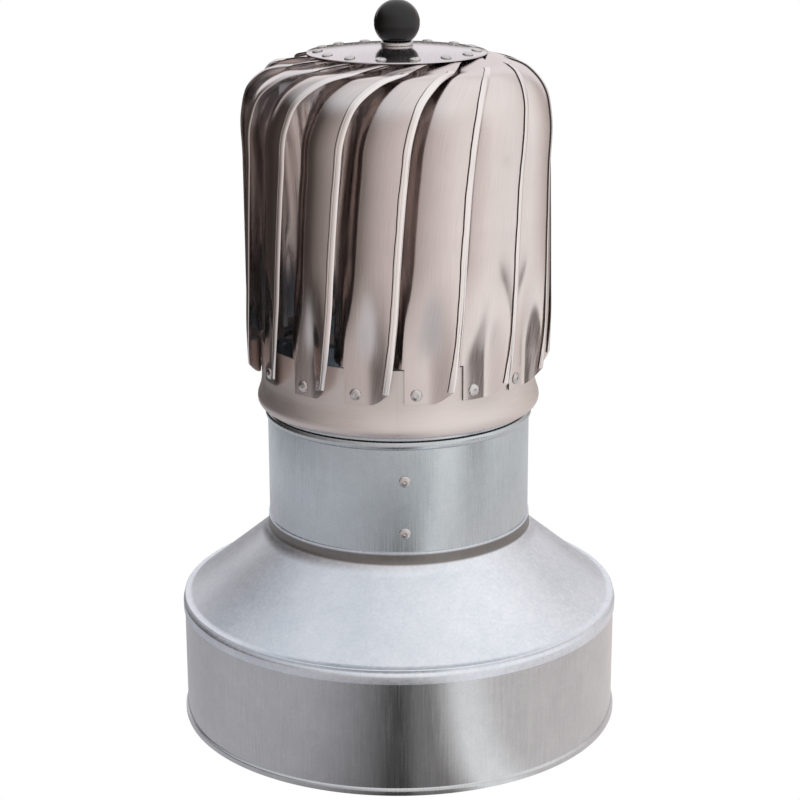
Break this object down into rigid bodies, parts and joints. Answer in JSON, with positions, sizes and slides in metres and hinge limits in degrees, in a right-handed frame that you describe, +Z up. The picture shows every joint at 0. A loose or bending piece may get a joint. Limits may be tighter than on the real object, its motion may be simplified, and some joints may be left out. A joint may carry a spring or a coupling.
{
  "type": "roof turbine ventilator",
  "caption": "Wind-driven roof vent: a round vaned rotor with domed top disc and ball knob, spinning on bearings over a flue neck, reducing cone and open base collar.",
  "frame": {"origin": "centre of the base collar's open foot, on the plane it stands on", "axes": "+Z up along the rotor's axis; -Y towards the riveted front of the neck; +X to the right seen from the front"},
  "size_m": [0.2526, 0.2526, 0.4103],
  "materials": {
    "galvanised": "zinc-coated sheet, semi-gloss with fine spangle",
    "stainless": "brushed grain along the sheet",
    "disc_steel": "bright rolled",
    "knob": "moulded, glossy",
    "hub_aluminium": "turned",
    "rivet": "set heads",
    "cage_plastic": "moulded",
    "bearing_steel": "ground",
    "fastener": "zinc plated"
  },
  "bodies": {
    "base": {"base_collar": "galvanised", "cone": "galvanised", "neck_pipe": "galvanised", "bracket_arm_1": "galvanised", "bracket_arm_2": "galvanised", "bracket_arm_3": "galvanised", "bracket_rivets_1": "rivet", "bracket_rivets_2": "rivet", "bracket_rivets_3": "rivet", "bearing_hub": "hub_aluminium", "hub_bolt_1": "fastener", "hub_bolt_2": "fastener", "hub_bolt_3": "fastener", "hub_nut_1": "fastener", "hub_nut_2": "fastener", "hub_nut_3": "fastener", "lower_outer_race": "bearing_steel", "upper_outer_race": "bearing_steel", "lower_shields": "bearing_steel", "upper_shields": "bearing_steel"},
    "lower_cage": {"lower_cage": "cage_plastic", "lower_balls": "bearing_steel"},
    "upper_cage": {"upper_cage": "cage_plastic", "upper_balls": "bearing_steel"},
    "rotor": {"shaft": "fastener", "lower_inner_race": "bearing_steel", "upper_inner_race": "bearing_steel", "spacer_sleeve": "hub_aluminium", "circlip": "fastener", "set_collar": "hub_aluminium", "grub_screw": "fastener", "rotor_ring": "stainless", "blade_01": "stainless", "blade_02": "stainless", "blade_03": "stainless", "blade_04": "stainless", "blade_05": "stainless", "blade_06": "stainless", "blade_07": "stainless", "blade_08": "stainless", "blade_09": "stainless", "blade_10": "stainless", "blade_11": "stainless", "blade_12": "stainless", "blade_13": "stainless", "blade_14": "stainless", "blade_15": "stainless", "top_disc": "disc_steel", "shaft_nut": "fastener", "under_washer": "fastener", "top_washer": "fastener", "ball_knob": "knob", "disc_rivets": "rivet", "ring_rivets": "rivet"}
  },
  "joints": [
    {"name": "rotor_spin", "type": "hinge", "parent": "base", "child": "rotor", "pos_m": [0, 0, 0.189], "axis": [0, 0, 1], "continuous": true},
    {"name": "lower_cage_spin", "type": "hinge", "parent": "base", "child": "lower_cage", "pos_m": [0, 0, 0.1685], "axis": [0, 0, 1], "continuous": true},
    {"name": "upper_cage_spin", "type": "hinge", "parent": "base", "child": "upper_cage", "pos_m": [0, 0, 0.2095], "axis": [0, 0, 1], "continuous": true}
  ],
  "couplings": [
    {"joint": "lower_cage_spin", "follows": "rotor_spin", "ratio": 0.3677},
    {"joint": "upper_cage_spin", "follows": "rotor_spin", "ratio": 0.3677}
  ]
}
